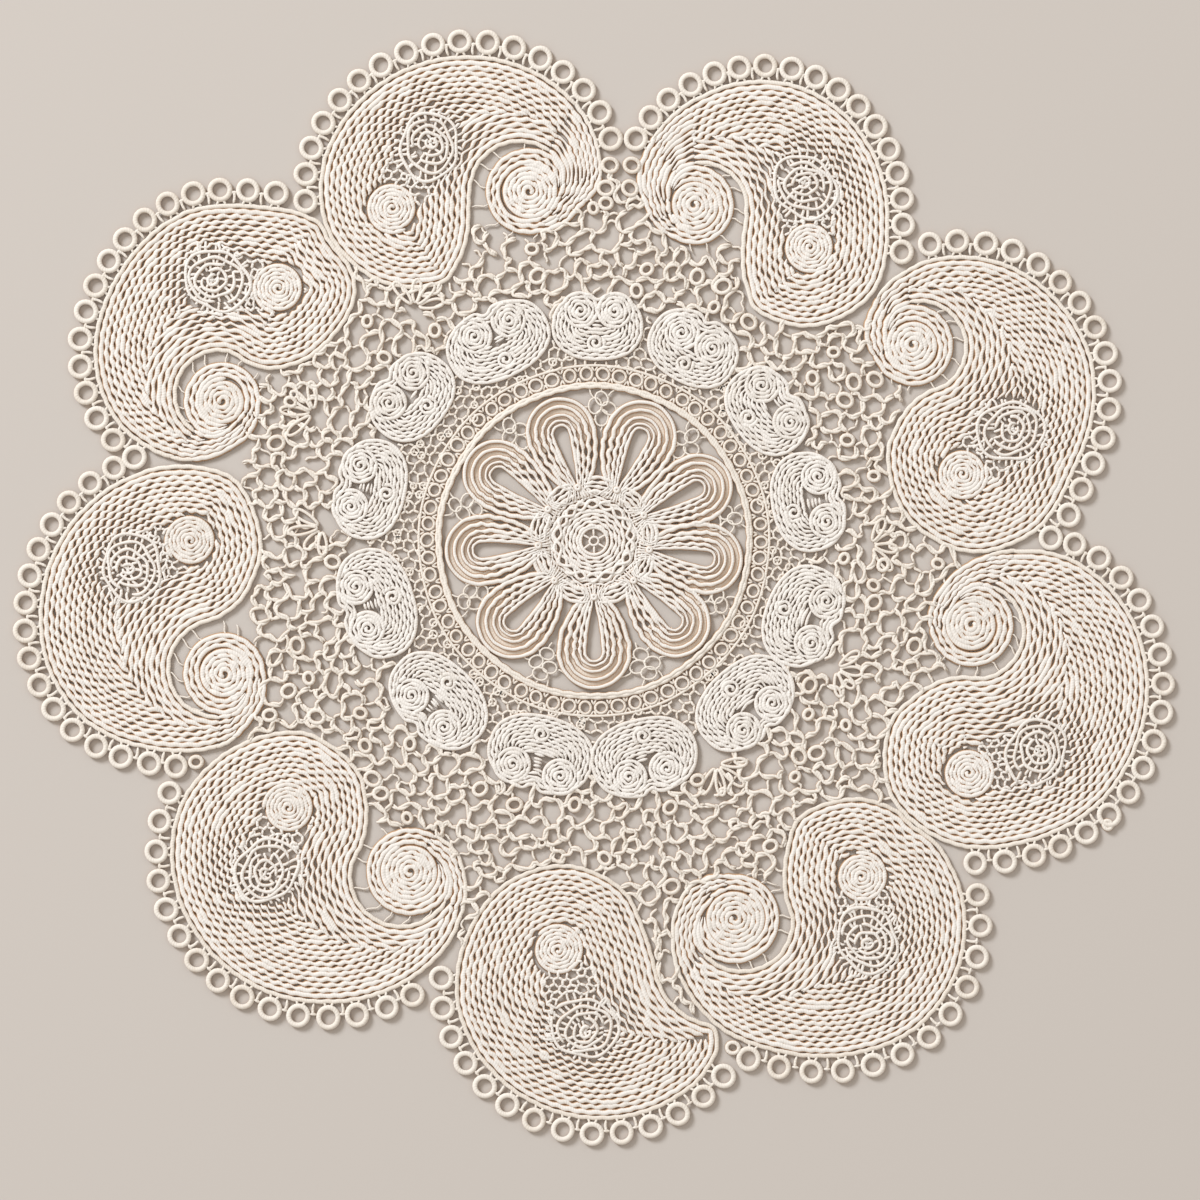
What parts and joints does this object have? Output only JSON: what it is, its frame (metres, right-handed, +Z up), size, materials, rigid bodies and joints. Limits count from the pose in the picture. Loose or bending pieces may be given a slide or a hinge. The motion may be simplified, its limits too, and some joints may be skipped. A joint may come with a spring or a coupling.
{
  "type": "lace placemat",
  "caption": "Round lace placemat lying flat: paisley lobes edged with small rings, an open ground net, spiral medallions and a looped flower in a round band.",
  "frame": {"origin": "middle of the mat's outline, on its underside", "axes": "+Z up out of the table, +X and +Y in the plane of the mat"},
  "size_m": [0.3786, 0.3636, 0.0024],
  "materials": {
    "paisley": "off-white cotton tape lace, matt",
    "edging": "cream cotton cord, closely wrapped, matt",
    "medallion": "off-white cotton tape lace in tight spirals, matt",
    "net": "cream cotton cord and thin thread, matt",
    "petal": "off-white cotton cord in nested loops, matt"
  },
  "bodies": {
    "root": {"paisley_1": "paisley", "paisley_2": "paisley", "paisley_3": "paisley", "paisley_4": "paisley", "paisley_5": "paisley", "paisley_6": "paisley", "paisley_7": "paisley", "paisley_8": "paisley", "paisley_9": "paisley", "ring_edging_1": "edging", "ring_edging_2": "edging", "ring_edging_3": "edging", "ring_edging_4": "edging", "ring_edging_5": "edging", "ring_edging_6": "edging", "ring_edging_7": "edging", "ring_edging_8": "edging", "ring_edging_9": "edging", "medallion_1": "medallion", "medallion_2": "medallion", "medallion_3": "medallion", "medallion_4": "medallion", "medallion_5": "medallion", "medallion_6": "medallion", "medallion_7": "medallion", "medallion_8": "medallion", "medallion_9": "medallion", "medallion_10": "medallion", "medallion_11": "medallion", "medallion_12": "medallion", "medallion_13": "medallion", "ground_net": "net", "inner_net": "net", "ring_band": "edging", "petal_1": "petal", "petal_2": "petal", "petal_3": "petal", "petal_4": "petal", "petal_5": "petal", "petal_6": "petal", "petal_7": "petal", "petal_8": "petal", "petal_9": "petal", "petal_net_1": "net", "petal_net_2": "net", "petal_net_3": "net", "petal_net_4": "net", "petal_net_5": "net", "petal_net_6": "net", "petal_net_7": "net", "petal_net_8": "net", "petal_net_9": "net", "flower_centre": "petal"}
  },
  "joints": []
}
